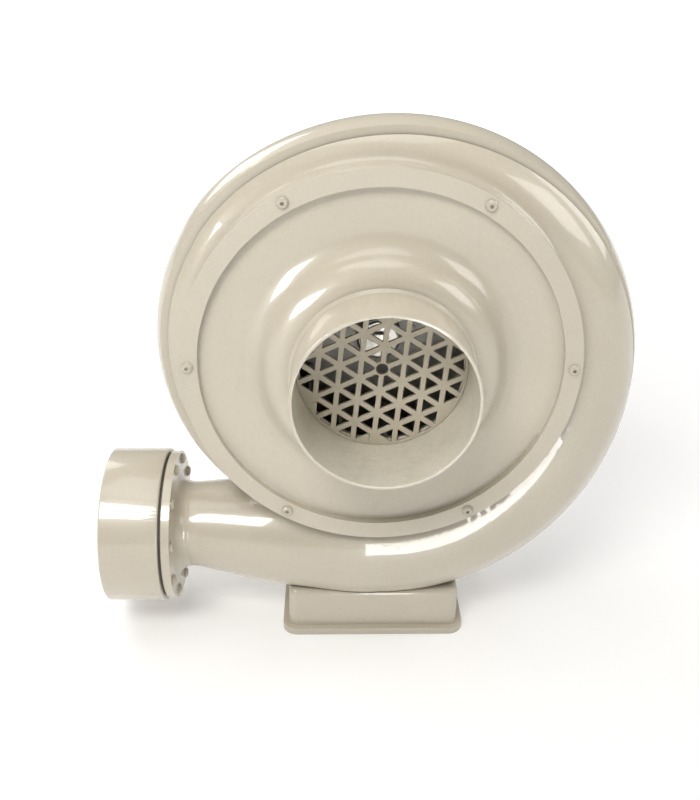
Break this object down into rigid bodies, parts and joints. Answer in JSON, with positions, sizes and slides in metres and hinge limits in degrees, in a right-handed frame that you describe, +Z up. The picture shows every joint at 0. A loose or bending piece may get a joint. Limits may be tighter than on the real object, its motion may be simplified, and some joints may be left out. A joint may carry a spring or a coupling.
{
  "type": "centrifugal exhaust blower",
  "caption": "Centrifugal exhaust blower: snail-shaped cast volute with a guarded axial inlet collar, side outlet collar, hollow foot and rear induction motor.",
  "frame": {"origin": "centre of the four mounting holes on the foot's bottom face, so the object stands on Z = 0", "axes": "+Z up; -Y is the way the inlet collar faces, +Y runs to the motor; -X is the way the outlet collar faces"},
  "size_m": [0.4778, 0.3535, 0.4851],
  "materials": {
    "beige_paint": "glossy warm grey-beige enamel over cast aluminium",
    "beige_paint_sheet": "the same enamel over pressed sheet",
    "painted_screws": "steel screws painted over with the casting",
    "gasket": "dark fibre-filled sheet gasket",
    "zinc_steel": "zinc-plated fasteners",
    "bearing_steel": "ground bearing steel",
    "machined_steel": "turned steel",
    "bare_aluminium": "bare aluminium",
    "lamination": "varnished electrical sheet",
    "copper": "varnished copper windings",
    "brass": "plated brass terminals",
    "seal_rubber": "nitrile rubber",
    "fan_plastic": "black moulded plastic",
    "capacitor_can": "plain aluminium can",
    "gland_plastic": "black polyamide"
  },
  "bodies": {
    "casing": {"volute_body": "beige_paint", "inlet_cover": "beige_paint", "inlet_cover_gasket": "gasket", "inlet_cover_screws": "painted_screws", "inlet_collar": "beige_paint", "inlet_grille": "beige_paint", "outlet_gasket": "gasket", "outlet_collar": "beige_paint", "outlet_flange_screws": "painted_screws", "foot": "beige_paint", "foot_screws": "zinc_steel", "back_plate_gasket": "gasket", "back_plate": "beige_paint", "back_plate_screws": "zinc_steel", "front_bearing_outer_race": "bearing_steel", "rear_bearing_outer_race": "bearing_steel", "stator_core": "lamination", "stator_windings": "copper", "motor_front_shield": "beige_paint", "shaft_seal": "seal_rubber", "motor_flange_screws": "zinc_steel", "motor_barrel": "beige_paint", "motor_rear_shield": "beige_paint", "wave_washer": "bearing_steel", "tie_bolts": "zinc_steel", "fan_cowl": "beige_paint_sheet", "fan_cowl_screws": "zinc_steel", "terminal_box": "beige_paint", "terminal_box_screws": "zinc_steel", "terminal_box_seal": "seal_rubber", "terminal_box_lid": "beige_paint", "terminal_lid_screws": "zinc_steel", "terminal_block": "fan_plastic", "terminal_screws": "brass", "run_capacitor": "capacitor_can", "cable_gland": "gland_plastic", "gland_nut": "gland_plastic"},
    "rotor": {"cooling_fan": "fan_plastic", "fan_clip": "machined_steel", "front_bearing_balls": "bearing_steel", "front_bearing_inner_race": "bearing_steel", "impeller_backplate": "bare_aluminium", "impeller_blades": "bare_aluminium", "impeller_bolt": "zinc_steel", "impeller_hub": "bare_aluminium", "impeller_key": "machined_steel", "impeller_rivets": "bare_aluminium", "impeller_shroud": "bare_aluminium", "impeller_washer": "zinc_steel", "rear_bearing_balls": "bearing_steel", "rear_bearing_inner_race": "bearing_steel", "rotor_cage": "bare_aluminium", "rotor_core": "lamination", "shaft": "machined_steel"}
  },
  "joints": [
    {"name": "rotor_spin", "type": "hinge", "parent": "casing", "child": "rotor", "pos_m": [0, -0.032, 0.288], "axis": [0, 1, 0], "continuous": true}
  ]
}
